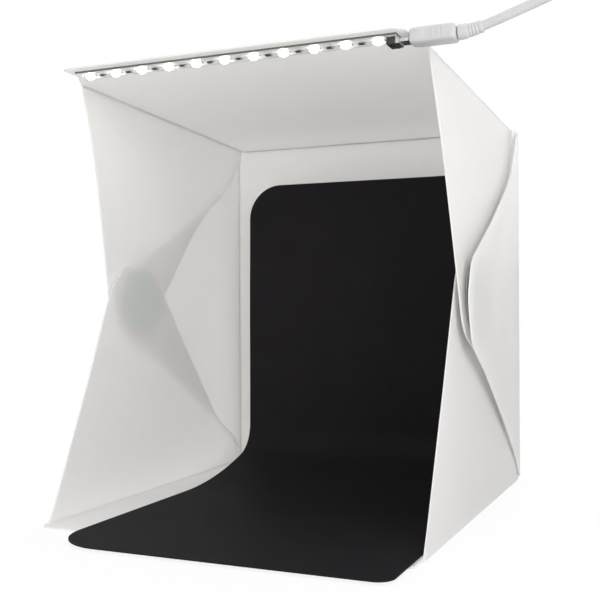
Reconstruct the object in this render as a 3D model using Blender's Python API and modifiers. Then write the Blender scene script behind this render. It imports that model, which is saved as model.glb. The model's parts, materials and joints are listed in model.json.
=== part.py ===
"""A folding light tent cube: thin bent-sheet panels whose side flaps meet on hook-and-loop discs,
a light bar under the front lip, a curved backdrop sheet, and a lead with its plugs.
Metres, +Z up. The tent opens toward -Y. Lengths follow the named sizes below."""
import math

import bmesh
import bpy
from mathutils import Matrix, Vector

# Driving sizes
depth = 0.235               # front edge of the bottom panel to the back of the back panel
height = 0.2355             # floor to the fold behind the top panel
front_rise = 0.0112         # how much higher the front edge of the top panel stands
sheet = 0.0008              # panel sheet
gap = 0.0003                # clearance between pieces that lie against each other
half_width = 0.1035         # of the bottom panel
top_outset = -0.0025        # how much farther out the top panel's side edges are
back_outset = 0.0014        # the same for the back panel's
corner_radius = 0.002
lip_corner_radius = 0.006
lip_tip_radius = 0.002      # of the lip's left corner
lip_setback = 0.005         # of the lip's front edge, behind the bottom panel's
lip_left_inset = 0.0080     # the lip's two ends, inside the top panel's side edges
lip_right_inset = 0.0030
lip_length = 0.014          # of its narrower part
lip_flare = 0.032           # behind the bottom panel's front edge: from there on the panel is full width

# Hook-and-loop discs
disc_diameter = 0.038
disc_thickness = 0.0004
disc_back_share = 0.415     # of the depth: its centre, behind the bottom panel's front edge
disc_up_share = 0.516       # of the height: its centre, above the floor
disc_play = 0.0001          # kept beside the room that the discs' slight angle to each other takes

# Backdrop sheet
backdrop_side_room = 0.0137  # from its side edges to the bottom panel's
backdrop_sheet = 0.0006
backdrop_reach = 0.0300     # how far it sticks out ahead of the bottom panel
backdrop_bend_start = 0.108   # start of the bend, behind the bottom panel's front edge
backdrop_long_radius = 0.26
backdrop_short_radius = 0.021
backdrop_height = 0.2035
backdrop_left_corner = 0.029    # of its front edge
backdrop_right_corner = 0.0085
backdrop_top_corner = 0.024
backdrop_offset = 0.0120    # its middle line stands right of the tent's at the front
backdrop_long_turn = math.radians(17.5)
backdrop_lean = math.radians(0.6)
backdrop_yaw = math.radians(0.5)

# Light bar
board_left_inset = 0.0130   # its two ends, inside the top panel's side edges
board_right_inset = 0.0075
board_width = 0.0125
board_thickness = 0.001
board_setback = 0.0045      # behind the lip's front edge
led_length = 0.0035
led_width = 0.0028
led_thickness = 0.0007
led_count = 11
led_left_margin = 0.0058    # first lamp's centre, inside the board's left end
led_right_margin = 0.0108   # last lamp's centre, inside the right end, where the socket is
resistor_length = 0.0032
resistor_width = 0.0016
resistor_thickness = 0.00055

# Socket and plugs
socket_length = 0.0056
socket_width = 0.0080
socket_height = 0.0030
socket_wall = 0.0004
socket_overhang = 0.0007    # its mouth past the board's end
tip_seat = 0.0008           # behind the tip's end, to the bottom of the socket
plug_clearance = 0.0008     # from the lip's right end to the plug's body
plug_length = 0.0223
plug_width = 0.0106
plug_height = 0.0077
plug_rise = 0.00125         # the body's middle lies above the socket's
plug_edge_radius = 0.0016
relief_length = 0.0115
relief_root_radius = 0.0036
relief_end_radius = 0.0029
relief_groove = 0.0005
relief_rings = 4
relief_turn = math.radians(17)   # how far the sleeve bends up toward its end
usb_body_length = 0.020
usb_body_width = 0.0155
usb_body_height = 0.0085
usb_edge_radius = 0.0015
usb_shell_length = 0.012
usb_shell_width = 0.012
usb_shell_height = 0.0045
usb_shell_wall = 0.0005
usb_shell_depth = 0.009

# Lead
cable_diameter = 0.0045
coil_outer_radius = 0.028
coil_pitch = 0.0051
coil_layer_rise = 0.0051
coil_x = 0.208
coil_y = 0.125
loops_per_layer = 2
loop_points = 24
tail_level = 0.018          # of the coil's tail, before it comes down to the plug
tail_length = 0.052
tie_width = 0.005
tie_thickness = 0.0006
tie_radius = 0.0022
tie_angle = math.radians(200)

cut_over = 0.001            # how far cutters run past what they cut
top_half_width = half_width + top_outset
back_half_width = half_width + back_outset
backdrop_half_width = half_width - backdrop_side_room
disc_from_front = disc_back_share * depth
disc_up = disc_up_share * height
board_left = top_half_width - board_left_inset
board_right = top_half_width - board_right_inset
led_pitch = (board_left + board_right - led_left_margin - led_right_margin) / (led_count - 1)
cable_radius = cable_diameter / 2
disc_radius = disc_diameter / 2

# Flap outlines as (along, across) shares, with the corner's radius as a share of the depth.
# Upper flap: along from the rear fold forward in depths, across down from the top in heights.
upper_flap_shares = (
    (0.008, 0.0, 0), (0.852, 0.0, 0.01), (0.812, 0.093, 0.2), (0.768, 0.212, 0.4), (0.725, 0.359, 0.5),
    (0.692, 0.476, 0.1), (0.664, 0.590, 0.09), (0.540, 0.640, 0.06), (0.448, 0.530, 0.10),
    (0.304, 0.325, 0.3), (0.213, 0.225, 0.15), (0.128, 0.172, 0.10), (0.060, 0.100, 0.05), (0.020, 0.044, 0.01),
)
# Lower flap: along from the front edge back, across up from the floor.
lower_flap_shares = (
    (0.992, 0.0, 0), (0.983, 0.030, 0.01), (0.945, 0.086, 0.05), (0.837, 0.152, 0.15),
    (0.707, 0.304, 0.4), (0.533, 0.521, 0.2), (0.455, 0.605, 0.08), (0.340, 0.605, 0.07),
    (0.281, 0.557, 0.12), (0.183, 0.330, 0.5), (0.060, 0.066, 0.3), (0.026, 0.0, 0),
)
front_edge_share = 0.3       # the outline's points ahead of this are its front edge
# The right one's front edge was cut a little further back than the left one's.
left_lower_setback, right_lower_setback = 0.0, 0.030
# Back flap: across up from the floor in heights, along from the rear fold forward in depths.
# The left one was cut a little shorter than the right one.
left_back_reach, right_back_reach = 0.935, 1.0
back_flap_shares = (
    (0.010, 0.0, 0), (0.024, 0.016, 0.01), (0.062, 0.050, 0.05), (0.150, 0.183, 0.3),
    (0.236, 0.332, 0.5), (0.340, 0.520, 0.3), (0.415, 0.682, 0.08), (0.520, 0.722, 0.06),
    (0.602, 0.682, 0.08), (0.700, 0.440, 0.5), (0.813, 0.200, 0.3), (0.860, 0.128, 0.10),
    (0.930, 0.060, 0.05), (0.985, 0.016, 0.01), (0.992, 0.0, 0),
)

# The free stretch of the lead, from the strain relief over and down to the floor and to the coil.
# Box frame: x right, y back from the bottom panel's front edge, z up.
cable_route = (
    (0.1328, 0.0158, 0.2456), (0.1371, 0.0158, 0.2469), (0.1435, 0.0157, 0.2489), (0.1510, 0.0154, 0.2512),
    (0.1580, 0.0149, 0.2533), (0.1650, 0.0142, 0.2553), (0.1772, 0.0126, 0.2571), (0.1888, 0.0105, 0.2555),
    (0.1997, 0.0082, 0.2510), (0.2090, 0.0060, 0.2439), (0.2161, 0.0042, 0.2346), (0.2204, 0.0028, 0.2220),
    (0.2217, 0.0018, 0.2050), (0.2220, 0.0012, 0.1850), (0.2220, 0.0006, 0.1530), (0.2221, 0.0002, 0.1200),
    (0.2221, -0.0002, 0.0850), (0.2221, -0.0008, 0.0550), (0.2221, -0.0012, 0.0330), (0.2222, 0.0004, 0.0175),
    (0.2223, 0.0060, 0.0076), (0.2226, 0.0150, 0.0036), (0.2236, 0.0270, 0.0029), (0.2262, 0.0450, 0.00315),
    (0.2298, 0.0650, 0.00315), (0.2334, 0.0850, 0.00315), (0.2353, 0.1000, 0.00315),
    (0.2360, 0.1130, 0.00315), (0.2360, 0.1200, 0.00315),
)

# Scene
for old in list(bpy.data.objects):
    bpy.data.objects.remove(old, do_unlink=True)
scene = bpy.context.scene
tent = bpy.data.collections.new("light_tent_cube")
cutters = bpy.data.collections.new("cutters")
scene.collection.children.link(tent)
scene.collection.children.link(cutters)


def material(name, color, roughness, metallic=0.0, alpha=1.0):
    made = bpy.data.materials.new(name)
    made.use_nodes = True
    shader = made.node_tree.nodes["Principled BSDF"]
    shader.inputs["Base Color"].default_value = (*color, 1.0)
    shader.inputs["Roughness"].default_value = roughness
    shader.inputs["Metallic"].default_value = metallic
    shader.inputs["Alpha"].default_value = alpha
    return made


sheet_white = material("translucent_sheet", (0.78, 0.78, 0.77), 0.42)
disc_grey = material("hook_and_loop", (0.16, 0.19, 0.17), 0.9)
backdrop_black = material("backdrop_sheet", (0.012, 0.012, 0.013), 0.5)
board_white = material("board", (0.80, 0.80, 0.78), 0.45)
lamp_yellow = material("lamp", (0.92, 0.86, 0.62), 0.3)
resistor_black = material("resistor", (0.03, 0.03, 0.03), 0.4)
plated_steel = material("plated_steel", (0.62, 0.62, 0.63), 0.28, 1.0)
lead_white = material("lead", (0.80, 0.80, 0.79), 0.5)
tie_black = material("tie", (0.03, 0.03, 0.03), 0.7)


def empty(name, parent, matrix):
    made = bpy.data.objects.new(name, None)
    tent.objects.link(made)
    made.parent = parent
    made.matrix_basis = matrix
    return made


def add(obj, parent, matrix, look):
    """Puts an object in the tent, under its parent, with its material."""
    for owner in list(obj.users_collection):
        owner.objects.unlink(obj)
    tent.objects.link(obj)
    obj.parent = parent
    obj.matrix_basis = matrix
    if not obj.data.materials:
        obj.data.materials.append(look)
    return obj


def at(x, y, z):
    return Matrix.Translation((x, y, z))


def frame(along, across, normal):
    """A rotation whose local X, Y and Z point along the three given directions."""
    return Matrix((along, across, normal)).transposed().to_4x4()


def filleted(points):
    """The corners (x, y, radius) of an outline, each rounded by its radius where its sides allow it."""
    out = []
    count = len(points)
    for index, (x, y, radius) in enumerate(points):
        here = Vector((x, y))
        before = Vector(points[index - 1][:2]) - here
        after = Vector(points[(index + 1) % count][:2]) - here
        if radius <= 0:
            out.append(here)
            continue
        half = before.angle(after) / 2
        reach = min(radius / math.tan(half), 0.49 * before.length, 0.49 * after.length)
        radius = reach * math.tan(half)
        middle = here + (before.normalized() + after.normalized()).normalized() * radius / math.sin(half)
        first = here + before.normalized() * reach - middle
        last = here + after.normalized() * reach - middle
        turn = first.angle_signed(last)
        steps = max(2, math.ceil(abs(turn) / math.radians(9)))
        for step in range(steps + 1):
            spin = Matrix.Rotation(-turn * step / steps, 2)
            out.append(middle + spin @ first)
    return out


def plate_data(name, corners, thickness):
    """A flat outline as a filled 2D curve, as thick as the sheet."""
    data = bpy.data.curves.new(name, "CURVE")
    data.dimensions = "2D"
    data.fill_mode = "BOTH"
    data.extrude = thickness / 2
    points = filleted(corners)
    spline = data.splines.new("POLY")
    spline.points.add(len(points) - 1)
    for point, place in zip(spline.points, points):
        point.co = (place.x, place.y, 0, 1)
    spline.use_cyclic_u = True
    return data


def shares_to_corners(shares, along, across):
    return [(a * along, b * across, r * depth) for a, b, r in shares]


def block(name, size, parent, matrix, look, edge=0, segments=2):
    bpy.ops.mesh.primitive_cube_add(size=1)
    obj = bpy.context.object
    obj.name = obj.data.name = name
    obj.data.transform(Matrix.Diagonal((*size, 1)))
    if edge:
        bevel = obj.modifiers.new("Bevel", "BEVEL")
        bevel.width = min(edge, 0.45 * min(size))
        bevel.segments = segments
        bevel.limit_method = "ANGLE"
        obj.data.shade_smooth()
        obj.data.set_sharp_from_angle(angle=math.radians(40))
    return add(obj, parent, matrix, look)


def cut_block(obj, size, matrix):
    """Cuts a box, given in the same frame as the object, out of it."""
    cutter = block(obj.name + "_cutter", size, obj.parent, matrix, lead_white)
    tent.objects.unlink(cutter)
    cutters.objects.link(cutter)
    cutter.hide_render = True
    cutter.display_type = "WIRE"
    cut = obj.modifiers.new("Mouth", "BOOLEAN")
    cut.operation = "DIFFERENCE"
    cut.solver = "EXACT"
    cut.object = cutter


def disc(name, parent, matrix):
    mesh = bpy.data.meshes.new(name)
    shape = bmesh.new()
    bmesh.ops.create_cone(shape, cap_ends=True, segments=48, radius1=disc_radius, radius2=disc_radius,
                          depth=disc_thickness)
    shape.to_mesh(mesh)
    shape.free()
    mesh.shade_smooth()
    mesh.set_sharp_from_angle(angle=math.radians(40))
    return add(bpy.data.objects.new(name, mesh), parent, matrix, disc_grey)


def tube(name, points, radius, resolution, parent, look):
    data = bpy.data.curves.new(name, "CURVE")
    data.dimensions = "3D"
    data.bevel_depth = radius
    data.bevel_resolution = resolution
    data.use_fill_caps = True
    spline = data.splines.new("POLY")
    spline.points.add(len(points) - 1)
    for point, place in zip(spline.points, points):
        point.co = (*place, 1)
    return add(bpy.data.objects.new(name, data), parent, Matrix(), look)


def smooth_route(points, step):
    """Points about one step apart on a smooth curve through the given points."""
    points = [Vector(p) for p in points]
    ends = [2 * points[0] - points[1]] + points + [2 * points[-1] - points[-2]]
    fine = []
    for index in range(1, len(ends) - 2):
        a, b, c, d = ends[index - 1:index + 3]
        for part in range(20):
            t = part / 20
            fine.append(((2 * b) + (c - a) * t + (2 * a - 5 * b + 4 * c - d) * t * t
                         + (3 * b - a - 3 * c + d) * t ** 3) / 2)
    fine.append(points[-1])
    lengths = [(q - p).length for p, q in zip(fine, fine[1:])]
    total = sum(lengths)
    count = max(2, round(total / step))
    out, run, index = [fine[0]], 0.0, 0
    for k in range(1, count):
        target = total * k / count
        while run + lengths[index] < target:
            run += lengths[index]
            index += 1
        share = (target - run) / lengths[index]
        out.append(fine[index].lerp(fine[index + 1], share))
    out.append(fine[-1])
    return out, total


# Backdrop profile: half of the sheet's width against the run along it, and the run's shape
backdrop_floor = sheet + gap + backdrop_sheet / 2
short_turn = math.pi / 2 - backdrop_lean - backdrop_long_turn
floor_run = backdrop_reach + backdrop_bend_start
long_run = backdrop_long_radius * backdrop_long_turn
short_run = backdrop_short_radius * short_turn
bend_rise = (backdrop_long_radius * (1 - math.cos(backdrop_long_turn))
             + backdrop_short_radius * (math.cos(backdrop_long_turn) - math.sin(backdrop_lean)))
upright_run = (backdrop_height - backdrop_floor - bend_rise) / math.cos(backdrop_lean)
backdrop_run = floor_run + long_run + short_run + upright_run


def backdrop_point(run):
    """(y, z) on the sheet's middle, at a run from its front edge."""
    y, z = -backdrop_reach + min(run, floor_run), backdrop_floor
    run -= floor_run
    if run > 0:
        turn = min(run, long_run) / backdrop_long_radius
        y += backdrop_long_radius * math.sin(turn)
        z += backdrop_long_radius * (1 - math.cos(turn))
        run -= long_run
    if run > 0:
        turn = backdrop_long_turn + min(run, short_run) / backdrop_short_radius
        y += backdrop_short_radius * (math.sin(turn) - math.sin(backdrop_long_turn))
        z += backdrop_short_radius * (math.cos(backdrop_long_turn) - math.cos(turn))
        run -= short_run
    if run > 0:
        y += run * math.sin(backdrop_lean)
        z += run * math.cos(backdrop_lean)
    return y, z


def backdrop_half(run, front_corner):
    half = backdrop_half_width
    for from_end, radius in ((run, front_corner), (backdrop_run - run, backdrop_top_corner)):
        if from_end < radius:
            half -= radius - math.sqrt(max(0, radius ** 2 - (radius - from_end) ** 2))
    return half


# The tent's own frame: its origin is on the floor, under the middle of its bounding box
frontmost = (-(backdrop_reach - backdrop_left_corner) * math.cos(backdrop_yaw)
             - (backdrop_half_width - backdrop_left_corner) * math.sin(backdrop_yaw) - backdrop_left_corner)
root = empty("tent_frame", None, at(0, -(depth + frontmost) / 2, 0))

# Bottom and back panels
fold_y = depth - sheet - gap                 # the fold behind the top panel
flat = frame((1, 0, 0), (0, 1, 0), (0, 0, 1))
bottom_corners = [(-half_width, 0, corner_radius), (half_width, 0, corner_radius),
                  (half_width, fold_y, 0), (-half_width, fold_y, 0)]
add(bpy.data.objects.new("bottom_panel", plate_data("bottom_panel", bottom_corners, sheet)),
    root, at(0, 0, sheet / 2) @ flat, sheet_white)
upright = frame((1, 0, 0), (0, 0, 1), (0, -1, 0))
back_corners = [(-back_half_width, 0, 0), (back_half_width, 0, 0),
                (back_half_width, height, corner_radius), (-back_half_width, height, corner_radius)]
add(bpy.data.objects.new("back_panel", plate_data("back_panel", back_corners, sheet)),
    root, at(0, depth - sheet / 2, 0) @ upright, sheet_white)

# Top panel, on its fold, rising toward the front
rise_angle = math.atan2(front_rise, fold_y)
top_length = math.hypot(front_rise, fold_y)
top_fold = empty("top_fold", root, at(0, fold_y, height) @ Matrix.Rotation(-rise_angle, 4, "X"))
lip_front = -top_length + lip_setback
lip_left, lip_right = -top_half_width + lip_left_inset, top_half_width - lip_right_inset
lip_rear, full_from = lip_front + lip_length, -top_length + lip_flare
top_corners = [(lip_left, lip_front, lip_tip_radius), (lip_right, lip_front, lip_corner_radius),
               (lip_right, lip_rear, corner_radius), (top_half_width, full_from, corner_radius),
               (top_half_width, 0, 0), (-top_half_width, 0, 0),
               (-top_half_width, full_from, corner_radius), (lip_left, lip_rear, corner_radius)]
add(bpy.data.objects.new("top_panel", plate_data("top_panel", top_corners, sheet)),
    top_fold, at(0, 0, -sheet / 2) @ flat, sheet_white)

# How far each side flap leans out, so that the discs between them have room
lower_outer = half_width + gap + sheet
upper_fold = top_half_width + gap + sheet
back_fold = back_half_width + gap + sheet
pair_room = 2 * disc_thickness + 3 * gap
disc_run = (fold_y - disc_from_front) * math.cos(rise_angle) - (height - disc_up) * math.sin(rise_angle)
disc_drop = (fold_y - disc_from_front) * math.sin(rise_angle) + (height - disc_up) * math.cos(rise_angle)
upper_lean = back_lean = 0.0
for _ in range(20):
    upper_angle_room = disc_radius * abs(math.sin(upper_lean))
    back_angle_room = disc_radius * math.sin(math.hypot(upper_lean, back_lean))
    upper_inner_at_disc = lower_outer + pair_room + disc_play + upper_angle_room
    upper_lean = math.atan2(upper_inner_at_disc - (upper_fold - sheet), disc_drop)
    back_inner_at_disc = upper_inner_at_disc + sheet + pair_room + disc_play + back_angle_room
    back_lean = math.atan2(back_inner_at_disc - (back_fold - sheet), depth - disc_from_front)

upper_data = plate_data("upper_flap", shares_to_corners(upper_flap_shares, depth, height), sheet)
lower_frame = frame((0, 1, 0), (0, 0, 1), (1, 0, 0))
upper_frame = frame((0, -1, 0), (0, 0, -1), (1, 0, 0))
back_frame = frame((0, 0, 1), (0, -1, 0), (1, 0, 0))
disc_off = sheet / 2 + gap + disc_thickness / 2   # from a flap's middle to its disc's middle

for side, sign, lower_setback, back_reach in (("left", -1, left_lower_setback, left_back_reach),
                                              ("right", 1, right_lower_setback, right_back_reach)):
    fold = empty(side + "_lower_fold", root, at(sign * lower_outer, 0, 0))
    middle = at(-sign * sheet / 2, 0, 0)
    shares = [(along + lower_setback if along < front_edge_share else along, up, radius)
              for along, up, radius in lower_flap_shares]
    lower_data = plate_data(side + "_lower_flap", shares_to_corners(shares, depth, height), sheet)
    add(bpy.data.objects.new(side + "_lower_flap", lower_data), fold, middle @ lower_frame, sheet_white)
    spot = middle @ at(0, disc_from_front, disc_up) @ lower_frame
    disc(side + "_disc_lower", fold, spot @ at(0, 0, sign * disc_off))

    lean = Matrix.Rotation(-sign * upper_lean, 4, "Y")
    fold = empty(side + "_upper_fold", top_fold, at(sign * upper_fold, 0, 0) @ lean)
    add(bpy.data.objects.new(side + "_upper_flap", upper_data), fold, middle @ upper_frame, sheet_white)
    spot = middle @ at(0, -disc_run, -disc_drop) @ upper_frame
    disc(side + "_disc_upper_inner", fold, spot @ at(0, 0, -sign * disc_off))
    disc(side + "_disc_upper_outer", fold, spot @ at(0, 0, sign * disc_off))

    lean = Matrix.Rotation(sign * back_lean, 4, "Z")
    fold = empty(side + "_back_fold", root, at(sign * back_fold, depth, 0) @ lean)
    shares = [(up, along * back_reach, radius) for up, along, radius in back_flap_shares]
    back_data = plate_data(side + "_back_flap", shares_to_corners(shares, height, depth), sheet)
    add(bpy.data.objects.new(side + "_back_flap", back_data), fold, middle @ back_frame, sheet_white)
    spot = middle @ at(0, -(depth - disc_from_front), disc_up) @ back_frame
    disc(side + "_disc_back", fold, spot @ at(0, 0, -sign * disc_off))

# Backdrop: a grid laid along the profile, with rounded ends, then given its thickness
ends = []
for radius, start, facing in ((backdrop_left_corner, 0, 1), (backdrop_right_corner, 0, 1),
                              (backdrop_top_corner, backdrop_run, -1)):
    ends.append([start + facing * radius * (1 - math.cos(math.pi / 2 * k / 6)) for k in range(7)])
inner = [floor_run * k / 3 for k in (1, 2, 3)]
inner += [floor_run + long_run * k / 6 for k in range(1, 7)]
inner += [floor_run + long_run + short_run * k / 8 for k in range(1, 9)]
inner += [backdrop_run - upright_run + (upright_run - backdrop_top_corner) * k / 3 for k in (1, 2)]
runs = [0]
for run in sorted(ends[0] + ends[1] + inner + ends[2]):
    if run - runs[-1] > gap:
        runs.append(run)
runs[-1] = backdrop_run
columns = 2
bpy.ops.mesh.primitive_grid_add(x_subdivisions=columns, y_subdivisions=len(runs) - 1, size=2)
backdrop = bpy.context.object
backdrop.name = backdrop.data.name = "backdrop"
for vertex in backdrop.data.vertices:
    row = round((vertex.co.y + 1) / 2 * (len(runs) - 1))
    y, z = backdrop_point(runs[row])
    front_corner = backdrop_left_corner if vertex.co.x < 0 else backdrop_right_corner
    vertex.co = (vertex.co.x * backdrop_half(runs[row], front_corner), y, z)
solid = backdrop.modifiers.new("Solidify", "SOLIDIFY")
solid.thickness = backdrop_sheet
solid.offset = 0
solid.use_even_offset = True
backdrop.data.shade_smooth()
backdrop.data.set_sharp_from_angle(angle=math.radians(40))
slide = empty("backdrop_slide", root, at(backdrop_offset, 0, 0) @ Matrix.Rotation(backdrop_yaw, 4, "Z"))
add(backdrop, slide, Matrix(), backdrop_black)

# Light bar under the lip, in the top panel's frame
board_top = -sheet - gap
board_y = lip_front + board_setback + board_width / 2
board_under = board_top - board_thickness
block("led_board", (board_left + board_right, board_width, board_thickness), top_fold,
      at((board_right - board_left) / 2, board_y, board_top - board_thickness / 2), board_white)
for index in range(led_count):
    x = -board_left + led_left_margin + led_pitch * index
    block(f"led_{index + 1}", (led_length, led_width, led_thickness), top_fold,
          at(x, board_y, board_under - gap - led_thickness / 2), lamp_yellow, led_thickness / 4, 1)
    if index < led_count - 1:
        block(f"resistor_{index + 1}", (resistor_length, resistor_width, resistor_thickness), top_fold,
              at(x + led_pitch / 2, board_y, board_under - gap - resistor_thickness / 2), resistor_black)

# Socket at the board's right end, its mouth facing right, with the plug in it
mouth_x = board_right + socket_overhang
socket_z = board_under - gap - socket_height / 2
socket = block("socket_shell", (socket_length, socket_width, socket_height), top_fold,
               at(mouth_x - socket_length / 2, board_y, socket_z), plated_steel)
cavity = socket_length - socket_wall
cut_block(socket, (cavity + cut_over, socket_width - 2 * socket_wall, socket_height - 2 * socket_wall),
          at(mouth_x + cut_over - (cavity + cut_over) / 2, board_y, socket_z))
tip_from = mouth_x - cavity + tip_seat
tip_room = 2 * (socket_wall + gap)
plug_from = lip_right + plug_clearance
tip_length = plug_from - gap - tip_from
block("plug_tip", (tip_length, socket_width - tip_room, socket_height - tip_room), top_fold,
      at(tip_from + tip_length / 2, board_y, socket_z), plated_steel)
plug_z = socket_z + plug_rise
block("plug_body", (plug_length, plug_width, plug_height), top_fold,
      at(plug_from + plug_length / 2, board_y, plug_z), lead_white, plug_edge_radius, 3)

# Strain relief: a tapering sleeve with shallow rings, bent upward along an arc
relief_from = plug_from + plug_length + gap
relief_bend = relief_length / relief_turn


def relief_point(run):
    turn = run / relief_bend
    return Vector((relief_from + relief_bend * math.sin(turn), board_y,
                   plug_z + relief_bend * (1 - math.cos(turn))))


rows = [(0.0, relief_root_radius)]
ring = relief_length / (2 * relief_rings + 1)
for index in range(relief_rings):
    for place, dip in ((2 * index + 1, 0), (2 * index + 1.2, 1), (2 * index + 1.8, 1), (2 * index + 2, 0)):
        run = place * ring
        radius = relief_root_radius + (relief_end_radius - relief_root_radius) * run / relief_length
        rows.append((run, radius - dip * relief_groove))
rows.append((relief_length, relief_end_radius))
relief = tube("strain_relief", [relief_point(run) for run, _ in rows], relief_root_radius, 8, top_fold, lead_white)
for point, (_, radius) in zip(relief.data.splines[0].points, rows):
    point.radius = radius / relief_root_radius

# The lead: the free stretch, from the strain relief to the coil. The route's ends follow both.
bpy.context.view_layer.update()
from_top = root.matrix_world.inverted() @ top_fold.matrix_world
out_of = from_top.to_3x3() @ Vector((math.cos(relief_turn), 0, math.sin(relief_turn)))
relief_end = from_top @ relief_point(relief_length) + out_of * gap
coil_z = tie_thickness + gap + cable_radius
coil_start = Vector((coil_x + coil_outer_radius, coil_y, coil_z))
near = Vector(cable_route[0])
far = Vector(cable_route[-1])
lead_in = cable_diameter
route = [relief_end, relief_end + out_of * lead_in]
for place in cable_route[2:-2]:
    place = Vector(place)
    share = min(1, max(0, (place - near).length / ((place - near).length + (place - far).length)))
    route.append(place + (relief_end - near) * (1 - share) + (coil_start - Vector((0, lead_in, 0)) - far) * share)
route += [coil_start - Vector((0, 2 * lead_in, 0)), coil_start - Vector((0, lead_in + gap, 0))]
stretch, stretch_length = smooth_route(route, 2 * cable_diameter)
tube("cable", stretch, cable_radius, 3, root, lead_white)

# The coil spirals in on the floor, climbs one layer in the half turn where it reverses, and spirals out
coil_points = [coil_start - Vector((0, lead_in, 0)), coil_start - Vector((0, lead_in / 2, 0))]
turns = 2 * loops_per_layer
for k in range(turns * loop_points + 1):
    turn = k / loop_points
    radius = coil_outer_radius - coil_pitch * (loops_per_layer - abs(turn - loops_per_layer))
    climb = min(1, max(0, (turn - loops_per_layer + 0.25) / 0.5))
    climb = climb * climb * (3 - 2 * climb)
    angle = 2 * math.pi * turn
    coil_points.append(Vector((coil_x + radius * math.cos(angle), coil_y + radius * math.sin(angle),
                               coil_z + coil_layer_rise * climb)))
usb_z = usb_body_height / 2
tail = coil_points[-1]
drop = tail.z - usb_z
tail_end = tail_length - cable_diameter
for k in range(1, 8):
    run = tail_end * k / 7
    fall = min(1, max(0, (run - tail_level) / (tail_end - tail_level)))
    coil_points.append(tail + Vector((0, run, -drop * fall * fall * (3 - 2 * fall))))
coil_points.append(tail + Vector((0, tail_length, -drop)))
tube("cable_coil", coil_points, cable_radius, 1, root, lead_white)
least = min((a - b).length for i, a in enumerate(coil_points) for b in coil_points[i + loop_points // 2:])
coil_length = sum((a - b).length for a, b in zip(coil_points, coil_points[1:]))
print(f"lead {stretch_length + coil_length:.3f} m, least gap of the coil to itself {least - cable_diameter:.5f} m")

# Plug at the far end
usb_y = coil_points[-1].y + gap
usb_x = coil_points[-1].x
block("usb_plug_body", (usb_body_width, usb_body_length, usb_body_height), root,
      at(usb_x, usb_y + usb_body_length / 2, usb_z), lead_white, usb_edge_radius, 3)
shell_y = usb_y + usb_body_length + gap
shell = block("usb_plug_shell", (usb_shell_width, usb_shell_length, usb_shell_height), root,
              at(usb_x, shell_y + usb_shell_length / 2, usb_z), plated_steel)
cut_block(shell, (usb_shell_width - 2 * usb_shell_wall, usb_shell_depth + cut_over,
                  usb_shell_height - 2 * usb_shell_wall),
          at(usb_x, shell_y + usb_shell_length + cut_over - (usb_shell_depth + cut_over) / 2, usb_z))

# Tie: a band round all the loops, a rounded ring cut from a flat outline
bundle_inner = coil_outer_radius - coil_pitch * loops_per_layer
ring_turn = (tie_angle / (2 * math.pi)) % 1
radii = [coil_outer_radius - coil_pitch * (loops_per_layer - abs(k + ring_turn - loops_per_layer))
         for k in range(turns)]
tie_half = (max(radii) - min(radii)) / 2 + cable_radius + gap
tie_tall = coil_layer_rise + cable_diameter + 2 * gap
tie_middle = (max(radii) + min(radii)) / 2
outer_w, outer_h = tie_half + tie_thickness, tie_tall / 2 + tie_thickness
data = bpy.data.curves.new("cable_tie", "CURVE")
data.dimensions = "2D"
data.fill_mode = "BOTH"
data.extrude = tie_width / 2
for half_w, half_h, radius in ((outer_w, outer_h, tie_radius + tie_thickness), (tie_half, tie_tall / 2, tie_radius)):
    loop = filleted([(-half_w, -half_h, radius), (half_w, -half_h, radius), (half_w, half_h, radius),
                     (-half_w, half_h, radius)])
    spline = data.splines.new("POLY")
    spline.points.add(len(loop) - 1)
    for point, place in zip(spline.points, loop):
        point.co = (place.x, place.y, 0, 1)
    spline.use_cyclic_u = True
tie_frame = frame((math.cos(tie_angle), math.sin(tie_angle), 0), (0, 0, 1),
                  (math.sin(tie_angle), -math.cos(tie_angle), 0))
add(bpy.data.objects.new("cable_tie", data), root,
    at(coil_x + tie_middle * math.cos(tie_angle), coil_y + tie_middle * math.sin(tie_angle), outer_h) @ tie_frame,
    tie_black)
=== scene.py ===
"""Looks for the folding light tent cube: materials, fine pieces, floor, lights and camera.
Metres, +Z up. The tent opens toward -Y. The named sizes repeat the part's own."""
import json
import math

import bmesh
import bpy
from mathutils import Matrix, Vector

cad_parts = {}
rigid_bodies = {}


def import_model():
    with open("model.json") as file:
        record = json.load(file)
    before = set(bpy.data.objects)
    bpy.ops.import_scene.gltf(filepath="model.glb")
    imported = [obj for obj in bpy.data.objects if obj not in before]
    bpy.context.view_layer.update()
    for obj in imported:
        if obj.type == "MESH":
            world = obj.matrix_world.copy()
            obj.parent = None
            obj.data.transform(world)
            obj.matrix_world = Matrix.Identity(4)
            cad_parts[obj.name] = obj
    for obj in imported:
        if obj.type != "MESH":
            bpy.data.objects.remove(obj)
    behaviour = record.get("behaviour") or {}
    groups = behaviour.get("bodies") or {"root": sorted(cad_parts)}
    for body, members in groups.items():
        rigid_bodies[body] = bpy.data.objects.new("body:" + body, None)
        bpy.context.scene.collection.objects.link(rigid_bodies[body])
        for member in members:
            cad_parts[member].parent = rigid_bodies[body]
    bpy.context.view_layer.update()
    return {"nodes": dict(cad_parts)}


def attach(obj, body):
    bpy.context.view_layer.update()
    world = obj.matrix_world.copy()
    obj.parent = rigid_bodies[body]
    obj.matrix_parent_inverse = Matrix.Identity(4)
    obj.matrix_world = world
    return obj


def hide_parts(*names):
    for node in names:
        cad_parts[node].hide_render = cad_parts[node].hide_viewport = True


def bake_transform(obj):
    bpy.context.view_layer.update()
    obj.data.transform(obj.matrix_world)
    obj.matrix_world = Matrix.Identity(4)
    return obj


for old in list(bpy.data.objects):
    bpy.data.objects.remove(old, do_unlink=True)
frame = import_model()
nodes = frame["nodes"]
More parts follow.
